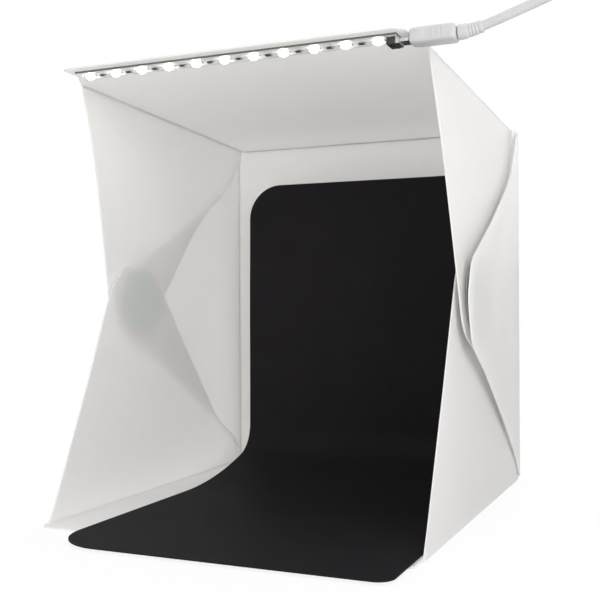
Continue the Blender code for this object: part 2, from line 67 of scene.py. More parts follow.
scene = bpy.context.scene

# Sizes of the part, as in its source
depth, height, front_rise = 0.235, 0.2355, 0.0112
sheet, gap = 0.0008, 0.0003
half_width = 0.1035
top_half_width = half_width - 0.0025
back_half_width = half_width + 0.0014
disc_radius, disc_thickness, disc_play = 0.019, 0.0004, 0.0001
disc_from_front, disc_up = 0.415 * depth, 0.516 * height
fold_y = depth - sheet - gap
rise_angle = math.atan2(front_rise, fold_y)
top_length = math.hypot(front_rise, fold_y)
lip_front, lip_right = -top_length + 0.005, top_half_width - 0.0030
board_left, board_right = top_half_width - 0.0130, top_half_width - 0.0075
board_width, board_thickness, board_setback = 0.0125, 0.001, 0.0045
board_y = lip_front + board_setback + board_width / 2
board_under = -sheet - gap - board_thickness
led_count = 11
led_left_margin, led_right_margin = 0.0058, 0.0108
led_pitch = (board_left + board_right - led_left_margin - led_right_margin) / (led_count - 1)
resistor_length, resistor_width, resistor_thickness = 0.0032, 0.0016, 0.00055
socket_length, socket_width, socket_height, socket_wall = 0.0056, 0.0080, 0.0030, 0.0004
mouth_x = board_right + 0.0007
socket_z = board_under - gap - socket_height / 2
plug_length, plug_width, plug_height = 0.0223, 0.0106, 0.0077
plug_from = lip_right + 0.0008
plug_z = socket_z + 0.00125
relief_from = plug_from + plug_length + gap
relief_length, relief_root_radius, relief_end_radius = 0.0115, 0.0036, 0.0029
relief_rings, relief_turn = 4, math.radians(17)
relief_bend = relief_length / relief_turn
cable_diameter = 0.0045
cable_radius = cable_diameter / 2
coil_outer_radius, coil_pitch, coil_layer_rise = 0.028, 0.0051, 0.0051
coil_x, coil_y = 0.208, 0.125
loops_per_layer, loop_points = 2, 24
tail_level, tail_length = 0.018, 0.052
tie_width, tie_thickness, tie_radius, tie_angle = 0.005, 0.0006, 0.0022, math.radians(200)
usb_body_length, usb_body_width, usb_body_height = 0.020, 0.0155, 0.0085
usb_shell_width, usb_shell_height, usb_shell_wall = 0.012, 0.0045, 0.0005

backdrop_sheet = 0.0006
backdrop_half_width = half_width - 0.0137
backdrop_reach, backdrop_bend_start = 0.0300, 0.108
backdrop_long_radius, backdrop_short_radius = 0.26, 0.021
backdrop_height, backdrop_offset = 0.2035, 0.0120
backdrop_left_corner, backdrop_right_corner, backdrop_top_corner = 0.029, 0.0085, 0.024
backdrop_long_turn, backdrop_lean, backdrop_yaw = math.radians(17.5), math.radians(0.6), math.radians(0.5)

# The shared frame's origin is under the middle of the tent and its backdrop, whose left corner is foremost
corner_aside = backdrop_half_width - backdrop_left_corner
corner_ahead = backdrop_reach - backdrop_left_corner
foremost = (-corner_ahead * math.cos(backdrop_yaw) - corner_aside * math.sin(backdrop_yaw)
            - backdrop_left_corner)
y_shift = -(depth + foremost) / 2


def at(x, y, z):
    return Matrix.Translation((x, y, z))


BOX = at(0, y_shift, 0)
TOP = BOX @ at(0, fold_y, height) @ Matrix.Rotation(-rise_angle, 4, "X")
UP, BACK = Vector((0, 0, 1)), Vector((0, 1, 0))


def add_camera():
    """A camera at the photograph's viewing angle."""
    yaw, pitch, roll = math.radians(23.835), math.radians(0.126), math.radians(-0.288)
    data = bpy.data.cameras.new("camera")
    data.lens = 57.198
    data.sensor_width = 36
    data.clip_start = 0.01
    camera = bpy.data.objects.new("camera", data)
    scene.collection.objects.link(camera)
    camera.matrix_world = (at(0.23054, -0.41229 + y_shift, 0.12037) @ Matrix.Rotation(yaw, 4, "Z")
                           @ Matrix.Rotation(math.pi / 2 + pitch, 4, "X") @ Matrix.Rotation(roll, 4, "Z"))
    scene.camera = camera


add_camera()


# Small tools for shapes
def quarter_turn(steps):
    """(sine, cosine) at even steps over a quarter of a circle."""
    angles = [math.pi / 2 * k / steps for k in range(steps + 1)]
    return [(math.sin(angle), math.cos(angle)) for angle in angles]


def eased(share):
    """The share, kept between 0 and 1 and made smooth at both."""
    share = min(1, max(0, share))
    return share * share * (3 - 2 * share)


def ring_faces(rings, count):
    """Faces between rings of count points each, and across the first and the last ring."""
    faces = []
    for first in range(0, (rings - 1) * count, count):
        for k in range(count):
            n = (k + 1) % count
            faces.append([first + k, first + n, first + count + n, first + count + k])
    last = (rings - 1) * count
    return faces + [list(range(count)), list(range(last, last + count))]


def piece(name, verts, faces, mats, slot, body=None, smooth=40, index=None):
    mesh = bpy.data.meshes.new(name)
    mesh.from_pydata([tuple(v) for v in verts], [], faces)
    shape = bmesh.new()
    shape.from_mesh(mesh)
    bmesh.ops.recalc_face_normals(shape, faces=shape.faces)
    shape.to_mesh(mesh)
    shape.free()
    for mat in mats:
        mesh.materials.append(mat)
    if index:
        for face, value in zip(mesh.polygons, index):
            face.material_index = value
    mesh.shade_smooth()
    mesh.set_sharp_from_angle(angle=math.radians(smooth))
    obj = bpy.data.objects.new(name, mesh)
    scene.collection.objects.link(obj)
    if body:
        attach(obj, body)
    return obj


class Build:
    """Gathers several shapes, each with its material number, into one mesh."""

    def __init__(self):
        self.verts, self.faces, self.index = [], [], []

    def add(self, verts, faces, matrix, index=0):
        start = len(self.verts)
        self.verts += [matrix @ Vector(v) for v in verts]
        self.faces += [[start + i for i in face] for face in faces]
        self.index += [index] * len(faces)

    def box(self, size, matrix, edge=0.0, index=0, segments=1):
        shape = bmesh.new()
        bmesh.ops.create_cube(shape, size=1)
        bmesh.ops.scale(shape, vec=size, verts=shape.verts)
        if edge:
            bmesh.ops.bevel(shape, geom=list(shape.edges), offset=edge, segments=segments, profile=0.5,
                            affect="EDGES", clamp_overlap=True)
        shape.verts.index_update()
        corners = [v.co.copy() for v in shape.verts]
        self.add(corners, [[v.index for v in f.verts] for f in shape.faces], matrix, index)
        shape.free()

    def turned(self, profile, matrix, sides, wide):
        """A profile of (radius, run) turned about the local Z axis, from a radius of 0 to a radius of 0."""
        verts, rows = [], []
        for radius, run in profile:
            count = sides if radius else 1
            rows.append([len(verts) + k for k in range(count)])
            for k in range(count):
                angle = 2 * math.pi * k / count
                verts.append((radius * wide * math.cos(angle), radius * math.sin(angle), run))
        faces = []
        for a, b in zip(rows, rows[1:]):
            for k in range(sides):
                n = (k + 1) % sides
                if len(a) == 1:
                    faces.append([a[0], b[k], b[n]])
                elif len(b) == 1:
                    faces.append([a[k], a[n], b[0]])
                else:
                    faces.append([a[k], a[n], b[n], b[k]])
        self.add(verts, faces, matrix)

    def done(self, name, mats, slot, body, smooth=40):
        return piece(name, self.verts, self.faces, mats, slot, body, smooth, self.index)


def tube_mesh(points, radii, sides):
    """Vertices and faces of a tube along the points, its section kept from twisting."""
    verts = []
    up = UP
    for i, (here, radius) in enumerate(zip(points, radii)):
        before = points[max(0, i - 1)]
        after = points[min(len(points) - 1, i + 1)]
        along = (after - before).normalized()
        side = along.cross(up).normalized()
        up = side.cross(along).normalized()
        for k in range(sides):
            angle = 2 * math.pi * k / sides
            verts.append(here + (side * math.cos(angle) + up * math.sin(angle)) * radius)
    return verts, ring_faces(len(points), sides)


def smooth_route(points, step):
    """Points about one step apart on a smooth curve through the given points."""
    ends = [2 * points[0] - points[1]] + points + [2 * points[-1] - points[-2]]
    parts = 20
    fine = []
    for index in range(1, len(ends) - 2):
        a, b, c, d = ends[index - 1:index + 3]
        for part in range(parts):
            t = part / parts
            fine.append(((2 * b) + (c - a) * t + (2 * a - 5 * b + 4 * c - d) * t * t
                         + (3 * b - a - 3 * c + d) * t ** 3) / 2)
    fine.append(points[-1])
    lengths = [(q - p).length for p, q in zip(fine, fine[1:])]
    total = sum(lengths)
    count = round(total / step)
    out, run, index = [fine[0]], 0.0, 0
    for k in range(1, count):
        target = total * k / count
        while run + lengths[index] < target:
            run += lengths[index]
            index += 1
        out.append(fine[index].lerp(fine[index + 1], (target - run) / lengths[index]))
    return out + [fine[-1]]


# Materials
class Nodes:
    """Short ways to build a node tree."""

    def __init__(self, tree):
        self.tree = tree

    def link(self, a, b):
        self.tree.links.new(a, b)

    def put(self, socket, value):
        """Sets a socket to a number or a color, or links another socket to it."""
        if isinstance(value, (int, float)):
            socket.default_value = value
        elif isinstance(value, tuple):
            socket.default_value = (*value, 1)
        else:
            self.link(value, socket)

    def node(self, kind, **values):
        """A new node, with values for its sockets and settings by name."""
        made = self.tree.nodes.new("ShaderNode" + kind)
        for key, value in values.items():
            if key in made.inputs:
                made.inputs[key].default_value = value
            else:
                setattr(made, key, value)
        return made

    def math(self, kind, *values):
        made = self.node("Math", operation=kind)
        for socket, value in zip(made.inputs, values):
            self.put(socket, value)
        return made.outputs["Value"]

    def mix_shader(self, *values, surface):
        """Sends two shaders, mixed by the factor before them, to the output's surface."""
        made = self.node("MixShader")
        for socket, value in zip(made.inputs, values):
            self.put(socket, value)
        self.link(made.outputs["Shader"], surface)


class Look(Nodes):
    """A node material built around one Principled shader."""

    def __init__(self, name, color, roughness, metallic=0.0, specular=0.5):
        self.mat = bpy.data.materials.new(name)
        self.mat.use_nodes = True
        super().__init__(self.mat.node_tree)
        self.bsdf = self.tree.nodes["Principled BSDF"]
        self.surface = self.tree.nodes["Material Output"].inputs["Surface"]
        self.coord = self.node("TexCoord")
        self.set({"Base Color": (*color, 1), "Roughness": roughness, "Metallic": metallic,
                  "Specular IOR Level": specular})

    def set(self, values):
        for key, value in values.items():
            self.bsdf.inputs[key].default_value = value

    def mapped(self, scale=(1, 1, 1), rotation=(0, 0, 0)):
        made = self.node("Mapping", Scale=scale, Rotation=rotation)
        self.link(self.coord.outputs["Object"], made.inputs["Vector"])
        return made.outputs["Vector"]

    def split(self, kind):
        """The X, Y and Z of a kind of coordinate."""
        made = self.node("SeparateXYZ")
        self.link(self.coord.outputs[kind], made.inputs["Vector"])
        return made.outputs

    def noise(self, scale, detail=3.0, rough=0.5, vector=None):
        made = self.node("TexNoise", Scale=scale, Detail=detail, Roughness=rough)
        self.link(vector or self.coord.outputs["Object"], made.inputs["Vector"])
        return made.outputs["Fac"]

    def ramp(self, value, stops):
        made = self.node("ValToRGB")
        for item, (place, color) in zip(made.color_ramp.elements, stops):
            item.position = place
            item.color = (*color, 1)
        self.link(value, made.inputs["Fac"])
        return made.outputs["Color"]

    def span(self, value, low, high, from_low=0.0, from_high=1.0):
        made = self.node("MapRange", **{"From Min": from_low, "From Max": from_high,
                                        "To Min": low, "To Max": high})
        self.link(value, made.inputs["Value"])
        return made.outputs["Result"]

    def mix(self, factor, a, b):
        """A mix of two colors."""
        made = self.node("Mix", data_type="RGBA")
        self.put(made.inputs[0], factor)
        for socket, value in zip([s for s in made.inputs if s.type == "RGBA"], (a, b)):
            self.put(socket, value)
        return [s for s in made.outputs if s.type == "RGBA"][0]

    def color(self, value):
        self.link(value, self.bsdf.inputs["Base Color"])

    def shade(self, value, low, high):
        """Colors from a low to a high one, as a noise goes over most of its range."""
        self.color(self.ramp(value, [(0.3, low), (0.7, high)]))

    def rough(self, value, low, high, from_low=0.3, from_high=0.7):
        self.link(self.span(value, low, high, from_low, from_high), self.bsdf.inputs["Roughness"])

    def bump(self, value, strength, distance, under=None):
        made = self.node("Bump", Strength=strength, Distance=distance)
        self.link(value, made.inputs["Height"])
        if under:
            self.link(under, made.inputs["Normal"])
        self.link(made.outputs["Normal"], self.bsdf.inputs["Normal"])
        return made.outputs["Normal"]

    def blend_in(self, factor, shader):
        """Mixes a share of another shader into the Principled one."""
        self.mix_shader(factor, self.bsdf.outputs["BSDF"], shader, surface=self.surface)


def speckled(name, color, roughness, speckle, low, high, bump):
    """A look with fine specks from a low to a high color, which also stand up a little."""
    look = Look(name, color, roughness)
    speck = look.noise(*speckle)
    look.shade(speck, low, high)
    look.bump(speck, *bump)
    return look


def sheet_look(name, through_share, painted_light_lift=0.0, over_disc=False):
    """Milky sheet that lets some light through. At a fold, where it is creased thick, it lets less through,
    and painted_light_lift lightens its colour there: a painted light against the shade in the fold's corner.
    Over a disc fixed to it, the disc's tint is painted into the sheet's colour: a painted show-through of the
    disc, seen by light through the sheet."""
    look = Look(name, (0.91, 0.90, 0.89), 0.42, specular=0.3)
    cloud = look.noise(7.0, 4.0, 0.6)
    fine = look.noise(160.0, 3.0, 0.6)
    both = look.math("ADD", look.math("MULTIPLY", cloud, 0.65), look.math("MULTIPLY", fine, 0.35))
    # painted_light_lift raises the tone: painted light on the creases, against the shade in a fold's corner
    tone = look.ramp(both, [(0.32, (0.892 + painted_light_lift, 0.887 + painted_light_lift, 0.881 + painted_light_lift)),
                            (0.68, (0.922 + painted_light_lift, 0.917 + painted_light_lift, 0.911 + painted_light_lift))])
    if over_disc:
        # Painted show-through: the disc's tint is painted on the sheet over the disc behind it.
        place = look.split("Object")
        aside = look.math("SUBTRACT", place["Y"], disc_from_front + y_shift)
        above = look.math("SUBTRACT", place["Z"], disc_up)
        away = look.math("SQRT", look.math("ADD", look.math("MULTIPLY", aside, aside),
                                           look.math("MULTIPLY", above, above)))
        show_through_inner, show_through_outer = disc_radius - 0.0005, disc_radius + 0.0002
        show_through = look.span(away, 1.0, 0.0, show_through_inner, show_through_outer)
        tone = look.mix(show_through, tone, (0.89, 0.92, 0.89))
    look.color(tone)
    look.rough(fine, 0.36, 0.52)
    under = look.bump(look.noise(28.0, 2.0, 0.5), 0.12, 0.0015)
    normal = look.bump(look.noise(1500.0, 2.0, 0.6), 0.22, 0.00012, under)
    through = look.node("BsdfTranslucent")
    look.link(look.mix(0.35, tone, (0.98, 0.958, 0.938)), through.inputs["Color"])
    look.link(normal, through.inputs["Normal"])
    look.blend_in(through_share, through.outputs["BSDF"])
    return look.mat


def disc_look():
    look = Look("hook_and_loop_look", (0.66, 0.70, 0.66), 0.92, specular=0.15)
    cells = look.node("TexVoronoi", Scale=1500.0)
    look.link(look.coord.outputs["Object"], cells.inputs["Vector"])
    spots = cells.outputs["Distance"]
    fuzz = look.noise(2600.0, 3.0, 0.7)
    tone = look.ramp(spots, [(0.05, (0.75, 0.79, 0.75)), (0.65, (0.52, 0.56, 0.52))])
    look.color(look.mix(look.span(fuzz, 0.0, 0.6, 0.3, 0.8), tone, (0.68, 0.72, 0.68)))
    look.bump(look.math("ADD", spots, fuzz), 0.7, 0.00035)
    return look.mat


def backdrop_look():
    look = Look("backdrop_sheet_look", (0.0150, 0.0138, 0.0152), 0.62, specular=0.03)
    grain = look.noise(1700.0, 2.0, 0.65)
    look.shade(look.noise(60.0, 3.0, 0.6), (0.0142, 0.0130, 0.0144), (0.0160, 0.0147, 0.0162))
    look.rough(grain, 0.55, 0.68)
    look.bump(grain, 0.30, 0.00010)
    return look.mat


def board_look():
    """A white mask on the board's faces, and at its cut edges the bare core, its dark colour partly the
    core's own and partly painted shade.
    """
    look = Look("board_look", (0.78, 0.78, 0.76), 0.38)
    up = look.math("ABSOLUTE", look.split("Normal")["Z"])
    flat = look.math("GREATER_THAN", up, 0.7)
    speck = look.noise(900.0, 3.0, 0.6)
    mask = look.ramp(speck, [(0.3, (0.70, 0.70, 0.68)), (0.7, (0.80, 0.80, 0.785))])
    weave = look.noise(1400.0, 2.0, 0.5, look.mapped((0.15, 0.15, 3.0)))
    # The edges' near-black is partly the bare core's own colour and partly painted shade on the board's
    # edges.
    core_and_painted_shade = look.ramp(weave, [(0.35, (0.075, 0.075, 0.066)), (0.65, (0.15, 0.15, 0.135))])
    look.color(look.mix(flat, core_and_painted_shade, mask))
    look.rough(flat, 0.75, 0.36, 0.0, 1.0)
    look.bump(speck, 0.15, 0.00006)
    return look.mat


def track_look():
    look = Look("track_look", (0.62, 0.62, 0.59), 0.32)
    look.shade(look.noise(800.0), (0.56, 0.56, 0.53), (0.66, 0.66, 0.63))
    look.bump(look.noise(2200.0), 0.15, 0.00004)
    return look.mat


def lamp_look():
    return speckled("lamp_look", (0.86, 0.84, 0.74), 0.32, (2600.0, 2.0, 0.5),
                    (0.82, 0.80, 0.70), (0.90, 0.88, 0.80), (0.2, 0.00004)).mat


def resin_look():
    """Clear resin over a lit lamp."""
    look = speckled("lit_resin_look", (0.96, 0.95, 0.90), 0.12, (1200.0, 2.0, 0.5),
                    (0.93, 0.91, 0.82), (0.99, 0.98, 0.94), (0.1, 0.0001))
    look.set({"Emission Color": (1.0, 0.985, 0.95, 1), "Emission Strength": 18.0,
              "Coat Weight": 0.5, "Coat Roughness": 0.06})
    return look.mat


def chip_look():
    return speckled("resistor_look", (0.035, 0.035, 0.036), 0.38, (3200.0, 3.0, 0.6),
                    (0.022, 0.022, 0.024), (0.055, 0.054, 0.053), (0.3, 0.00003)).mat


def dark_plastic_look():
    return speckled("dark_plastic_look", (0.02, 0.02, 0.021), 0.45, (1600.0, 2.0, 0.6),
                    (0.014, 0.014, 0.015), (0.032, 0.031, 0.031), (0.2, 0.00005)).mat


def metal_look(name, color, streaks=(0.15, 2.5, 2.5)):
    """Metal with fine streaks, long where their scale is small."""
    look = Look(name, color, 0.28, metallic=1.0)
    streak = look.noise(1300.0, 3.0, 0.6, look.mapped(streaks))
    look.shade(look.noise(220.0, 3.0, 0.6), tuple(c * 0.82 for c in color), tuple(c * 1.15 for c in color))
    look.rough(streak, 0.20, 0.40)
    look.bump(streak, 0.12, 0.00005)
    return look.mat


def lead_look():
    look = Look("lead_look", (0.52, 0.52, 0.52), 0.42, specular=0.35)
    patch = look.noise(55.0, 3.0, 0.55)
    look.shade(patch, (0.49, 0.49, 0.49), (0.55, 0.55, 0.55))
    look.rough(patch, 0.36, 0.50)
    look.bump(look.noise(1900.0, 2.0, 0.6), 0.06, 0.00005)
    return look.mat


def tie_look():
    """A woven band: two sets of waves, across each other, and some fuzz."""
    look = Look("tie_look", (0.03, 0.03, 0.03), 0.85, specular=0.2)
    waves = []
    for turn in (0.0, math.pi / 2):
        wave = look.node("TexWave", Scale=150.0)
        look.link(look.mapped(rotation=(0, 0, turn + math.radians(20))), wave.inputs["Vector"])
        waves.append(wave.outputs["Fac"])
    weave = look.math("MAXIMUM", *waves)
    fuzz = look.noise(2400.0, 3.0, 0.7)
    look.color(look.ramp(look.math("MULTIPLY", weave, fuzz),
                         [(0.1, (0.014, 0.014, 0.015)), (0.7, (0.055, 0.054, 0.055))]))
    look.bump(look.math("ADD", weave, fuzz), 0.6, 0.0002)
    return look.mat


# The creased sheet's lift of 0.04 lightens its colour: a painted light against the shade in the folds'
# corners.
sheet_mat, fold_mat = sheet_look("translucent_sheet_look", 0.48), sheet_look("creased_sheet_painted_light_look", 0.30, 0.04)
# The lower flap's sheet has the disc's tint painted in over the disc: a painted show-through.
show_through_mat = sheet_look("disc_show_through_sheet_look", 0.48, over_disc=True)
disc_mat, backdrop_mat = disc_look(), backdrop_look()
board_mat, lamp_mat, resin_mat, chip_mat = board_look(), lamp_look(), resin_look(), chip_look()
lead_mat, tie_mat, dark_mat, track_mat = lead_look(), tie_look(), dark_plastic_look(), track_look()
steel_mat = metal_look("plated_steel_look", (0.62, 0.62, 0.63))
gold_mat = metal_look("gold_contact_look", (0.80, 0.60, 0.30))
solder_mat = metal_look("solder_look", (0.68, 0.68, 0.69), (1, 1, 1))

# A node takes the first of these looks whose word is in its name. The other nodes are the lead's.
LOOKS = {
    "lower_flap": show_through_mat, "panel": sheet_mat, "flap": sheet_mat, "disc": disc_mat,
    "led_board": board_mat, "led_": lamp_mat, "resistor": chip_mat,
    "socket": steel_mat, "tip": steel_mat, "shell": steel_mat, "tie": tie_mat, "backdrop": backdrop_mat,
}


def dress(name):
    mesh = nodes[name].data
    mesh.materials.clear()
    mesh.materials.append(next((mat for word, mat in LOOKS.items() if word in name), lead_mat))
    mesh.shade_smooth()
    mesh.set_sharp_from_angle(angle=math.radians(35))


for node_name in nodes:
    dress(node_name)

# The lead: out of the strain relief, over and down to the floor, along it, and into its coil
cable_route = (
    (0.1328, 0.0158, 0.2456), (0.1371, 0.0158, 0.2469), (0.1435, 0.0157, 0.2489), (0.1510, 0.0154, 0.2512),
    (0.1580, 0.0149, 0.2533), (0.1650, 0.0142, 0.2553), (0.1772, 0.0126, 0.2571), (0.1888, 0.0105, 0.2555),
    (0.1997, 0.0082, 0.2510), (0.2090, 0.0060, 0.2439), (0.2161, 0.0042, 0.2346), (0.2204, 0.0028, 0.2220),
    (0.2217, 0.0018, 0.2050), (0.2220, 0.0012, 0.1850), (0.2220, 0.0006, 0.1530), (0.2221, 0.0002, 0.1200),
    (0.2221, -0.0002, 0.0850), (0.2221, -0.0008, 0.0550), (0.2221, -0.0012, 0.0330), (0.2222, 0.0004, 0.0175),
    (0.2223, 0.0060, 0.0076), (0.2226, 0.0150, 0.0036), (0.2236, 0.0270, 0.0029), (0.2262, 0.0450, 0.00315),
    (0.2298, 0.0650, 0.00315), (0.2334, 0.0850, 0.00315), (0.2353, 0.1000, 0.00315),
    (0.2360, 0.1130, 0.00315), (0.2360, 0.1200, 0.00315),
)
lead_in_relief = 0.0025    # how far the lead runs into the strain relief
coil_climb = 0.5           # of a turn, in which the coil climbs to its upper layer
coil_z = tie_thickness + gap + cable_radius
usb_z = usb_body_height / 2


def relief_point(run):
    turn = run / relief_bend
    rise = relief_bend * (1 - math.cos(turn))
    return Vector((relief_from + relief_bend * math.sin(turn), board_y, plug_z + rise))


from_top = BOX.inverted() @ TOP
out_of = from_top.to_3x3() @ Vector((math.cos(relief_turn), 0, math.sin(relief_turn)))


def stretch_points():
    """The free stretch, with its two ends moved onto the strain relief and the coil."""
    relief_end = from_top @ relief_point(relief_length) + out_of * gap
    coil_start = Vector((coil_x + coil_outer_radius, coil_y, coil_z))
    before = BACK * -cable_diameter
    near, far = Vector(cable_route[0]), Vector(cable_route[-1])
    route = [relief_end, relief_end + out_of * cable_diameter]
    for place in map(Vector, cable_route[2:-2]):
        share = (place - near).length / ((place - near).length + (place - far).length)
        route.append(place + (relief_end - near) * (1 - share) + (coil_start + before - far) * share)
    route += [coil_start + before * steps for steps in (2, 1, 0.5)]
    return smooth_route(route, cable_diameter / 1.5)


def coil_radius(turn):
    """Inward through the lower layer, and outward again through the upper one."""
    return coil_outer_radius - coil_pitch * (loops_per_layer - abs(turn - loops_per_layer))


def coil_points():
    """The coil's two layers, and its tail, which comes down to the far plug."""
    points = []
    points_a_turn = 2 * loop_points
    for k in range(2 * loops_per_layer * points_a_turn + 1):
        turn = k / points_a_turn
        radius, angle = coil_radius(turn), 2 * math.pi * turn
        climb = coil_layer_rise * eased((turn - loops_per_layer) / coil_climb + 0.5)
        points.append(Vector((coil_x + radius * math.cos(angle), coil_y + radius * math.sin(angle),
                              coil_z + climb)))
    tail = points[-1]
    drop = tail.z - usb_z
    tail_end, tail_steps = tail_length - cable_diameter, 16
    for k in range(1, tail_steps + 1):
        run = tail_end * k / tail_steps
        fall = eased((run - tail_level) / (tail_end - tail_level))
        points.append(tail + Vector((0, run, -drop * fall)))
    return points + [tail + Vector((0, tail_length, -drop))]


coil = coil_points()
lead_path = [BOX @ p for p in stretch_points() + coil]
lead_path[0] = lead_path[0] - out_of * lead_in_relief
lead = piece("lead_run", *tube_mesh(lead_path, [cable_radius] * len(lead_path), 18), [lead_mat], "lead",
             smooth=60)

# The backdrop sheet: laid on the floor, bent up and leaning back, with rounded corners
backdrop_floor = sheet + gap + backdrop_sheet / 2
short_turn = math.pi / 2 - backdrop_lean - backdrop_long_turn
floor_run = backdrop_reach + backdrop_bend_start
long_run = backdrop_long_radius * backdrop_long_turn
short_run = backdrop_short_radius * short_turn
bend_rise = (backdrop_long_radius * (1 - math.cos(backdrop_long_turn))
             + backdrop_short_radius * (math.cos(backdrop_long_turn) - math.sin(backdrop_lean)))
upright_run = (backdrop_height - backdrop_floor - bend_rise) / math.cos(backdrop_lean)
backdrop_run = floor_run + long_run + short_run + upright_run
backdrop_columns = 18
bow, ripple = 0.0006, 0.00035    # heights of the upright part's slight waves


def backdrop_point(run):
    """(y, z) on the sheet's middle, at a run from its front edge."""
    y, z = -backdrop_reach + min(run, floor_run), backdrop_floor
    run -= floor_run
    if run > 0:
        turn = min(run, long_run) / backdrop_long_radius
        y += backdrop_long_radius * math.sin(turn)
        z += backdrop_long_radius * (1 - math.cos(turn))
        run -= long_run
    if run > 0:
        turn = backdrop_long_turn + min(run, short_run) / backdrop_short_radius
        y += backdrop_short_radius * (math.sin(turn) - math.sin(backdrop_long_turn))
        z += backdrop_short_radius * (math.cos(backdrop_long_turn) - math.cos(turn))
        run -= short_run
    if run > 0:
        y += run * math.sin(backdrop_lean)
        z += run * math.cos(backdrop_lean)
    return y, z


def backdrop_half(run, front_corner):
    """From the sheet's middle line to its edge, on the side with this front corner."""
    half = backdrop_half_width
    for from_end, radius in ((run, front_corner), (backdrop_run - run, backdrop_top_corner)):
        if from_end < radius:
            half -= radius - math.sqrt(max(0, radius ** 2 - (radius - from_end) ** 2))
    return half


def backdrop_runs():
    """Runs of the sheet's rows: close together round its corners, and even between them."""
    front_steps, middle_steps, top_steps, least = 16, 110, 20, 0.00005
    wanted = [radius * (1 - c) for radius in (backdrop_left_corner, backdrop_right_corner)
              for s, c in quarter_turn(front_steps)]
    middle = backdrop_run - backdrop_top_corner - backdrop_left_corner
    wanted += [backdrop_left_corner + middle * k / middle_steps for k in range(1, middle_steps)]
    wanted += [backdrop_run - backdrop_top_corner * (1 - c) for s, c in quarter_turn(top_steps)]
    runs = [0]
    for run in sorted(wanted):
        if run - runs[-1] > least:
            runs.append(run)
    runs[-1] = backdrop_run
    return runs


def backdrop_row(run):
    """(place, normal) for each point across the sheet, with the place already on its wave."""
    y, z = backdrop_point(run)
    ahead_y, ahead_z = backdrop_point(min(run + 1e-4, backdrop_run))
    back_y, back_z = backdrop_point(max(run - 1e-4, 0))
    slope = Vector((0, ahead_y - back_y, ahead_z - back_z)).normalized()
    normal = Vector((0, -slope.z, slope.y))
    free = min(1, max(0, (run - floor_run - long_run - short_run) / upright_run))
    left, right = backdrop_half(run, backdrop_left_corner), backdrop_half(run, backdrop_right_corner)
    row = []
    for k in range(backdrop_columns + 1):
        aside = 2 * k / backdrop_columns - 1
        x = aside * (left if aside < 0 else right)
        wave = free * (bow * (aside ** 2 - 0.4) + ripple * math.sin(2.6 * aside + 9 * free))
        row.append((Vector((x, y, z)) + normal * wave, normal))
    return row


def backdrop_cloth():
    """Two layers of points, half the sheet's thickness to each side of its middle, and a border between."""
    slide = BOX @ at(backdrop_offset, 0, 0) @ Matrix.Rotation(backdrop_yaw, 4, "Z")
    runs = backdrop_runs()
    rows = [backdrop_row(run) for run in runs]
    verts = [slide @ (place + normal * half) for half in (-backdrop_sheet / 2, backdrop_sheet / 2)
             for row in rows for place, normal in row]
    count, last = backdrop_columns + 1, len(rows) - 1
    layer = len(rows) * count
    faces = []
    for first in (0, layer):
        for r in range(last):
            for k in range(backdrop_columns):
                a = first + r * count + k
                faces.append([a, a + 1, a + 1 + count, a + count])
    border = list(range(count))
    border += [r * count + backdrop_columns for r in range(1, last + 1)]
    border += [last * count + k for k in range(backdrop_columns - 1, -1, -1)]
    border += [r * count for r in range(last - 1, 0, -1)]
    faces += [[a, b, b + layer, a + layer] for a, b in zip(border, border[1:] + border[:1])]
    made = piece("backdrop_cloth", verts, faces, [backdrop_mat], "backdrop_sheet", smooth=50)
    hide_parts("backdrop")
    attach(made, "backdrop")
    area = sum((backdrop_half(a, corner) + backdrop_half(b, corner)) / 2 * (b - a)
               for a, b in zip(runs, runs[1:]) for corner in (backdrop_left_corner, backdrop_right_corner))


backdrop_cloth()

# Folds: the thin hinge of sheet that joins two panels, seen as a rounded crease inside and out
inside, outside = 0.0008, 0.0014    # how far a crease and a skin reach from their corner
skin, skin_sunk = 0.00018, 0.0001   # a skin's thickness over the sheet, and how far its edges go into it
skin_radius, skin_root = 0.0005, 0.0004
fold_inset = 0.0006                 # of the middle folds' ends, inside the panels' side edges
fold_steps = 24
lower_span, upper_span, back_span = (0.008, 0.974), (0.004, 0.850), (0.014, 0.988)
upper_fold_x, back_fold_x = top_half_width + gap + sheet, back_half_width + gap + sheet


def flap_leans():
    """How far the upper and back flaps lean out, each over the flap inside it and a pair of discs."""
    pair_room = 2 * disc_thickness + 3 * gap + disc_play
    lower_outer = half_width + gap + sheet
    disc_drop = (fold_y - disc_from_front) * math.sin(rise_angle) + (height - disc_up) * math.cos(rise_angle)
    upper = back = 0.0
    for _ in range(20):
        upper_inner = lower_outer + pair_room + disc_radius * abs(math.sin(upper))
        back_inner = upper_inner + sheet + pair_room + disc_radius * math.sin(math.hypot(upper, back))
        upper = math.atan2(upper_inner - (upper_fold_x - sheet), disc_drop)
        back = math.atan2(back_inner - (back_fold_x - sheet), depth - disc_from_front)
    return upper, back


upper_lean, back_lean = flap_leans()


def strip(name, section, ends, body=None):
    """A strip with the given closed section, drawn between the two ends of a fold."""
    verts = [ends[0].lerp(ends[1], i / fold_steps) + p for i in range(fold_steps + 1) for p in section]
    return piece(name, verts, ring_faces(fold_steps + 1, len(section)), [fold_mat], "translucent_sheet",
                 body, 60)


def crease(name, section, ends):
    """A strip with the given section between a fold's two ends, left on no body."""
    made = strip(name, section, ends)
    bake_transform(made)


def hollow(corner, one, two):
    """A hollow curve over a corner between two directions."""
    return [corner + one * (inside * (1 - s)) + two * (inside * (1 - c)) for s, c in quarter_turn(6)]


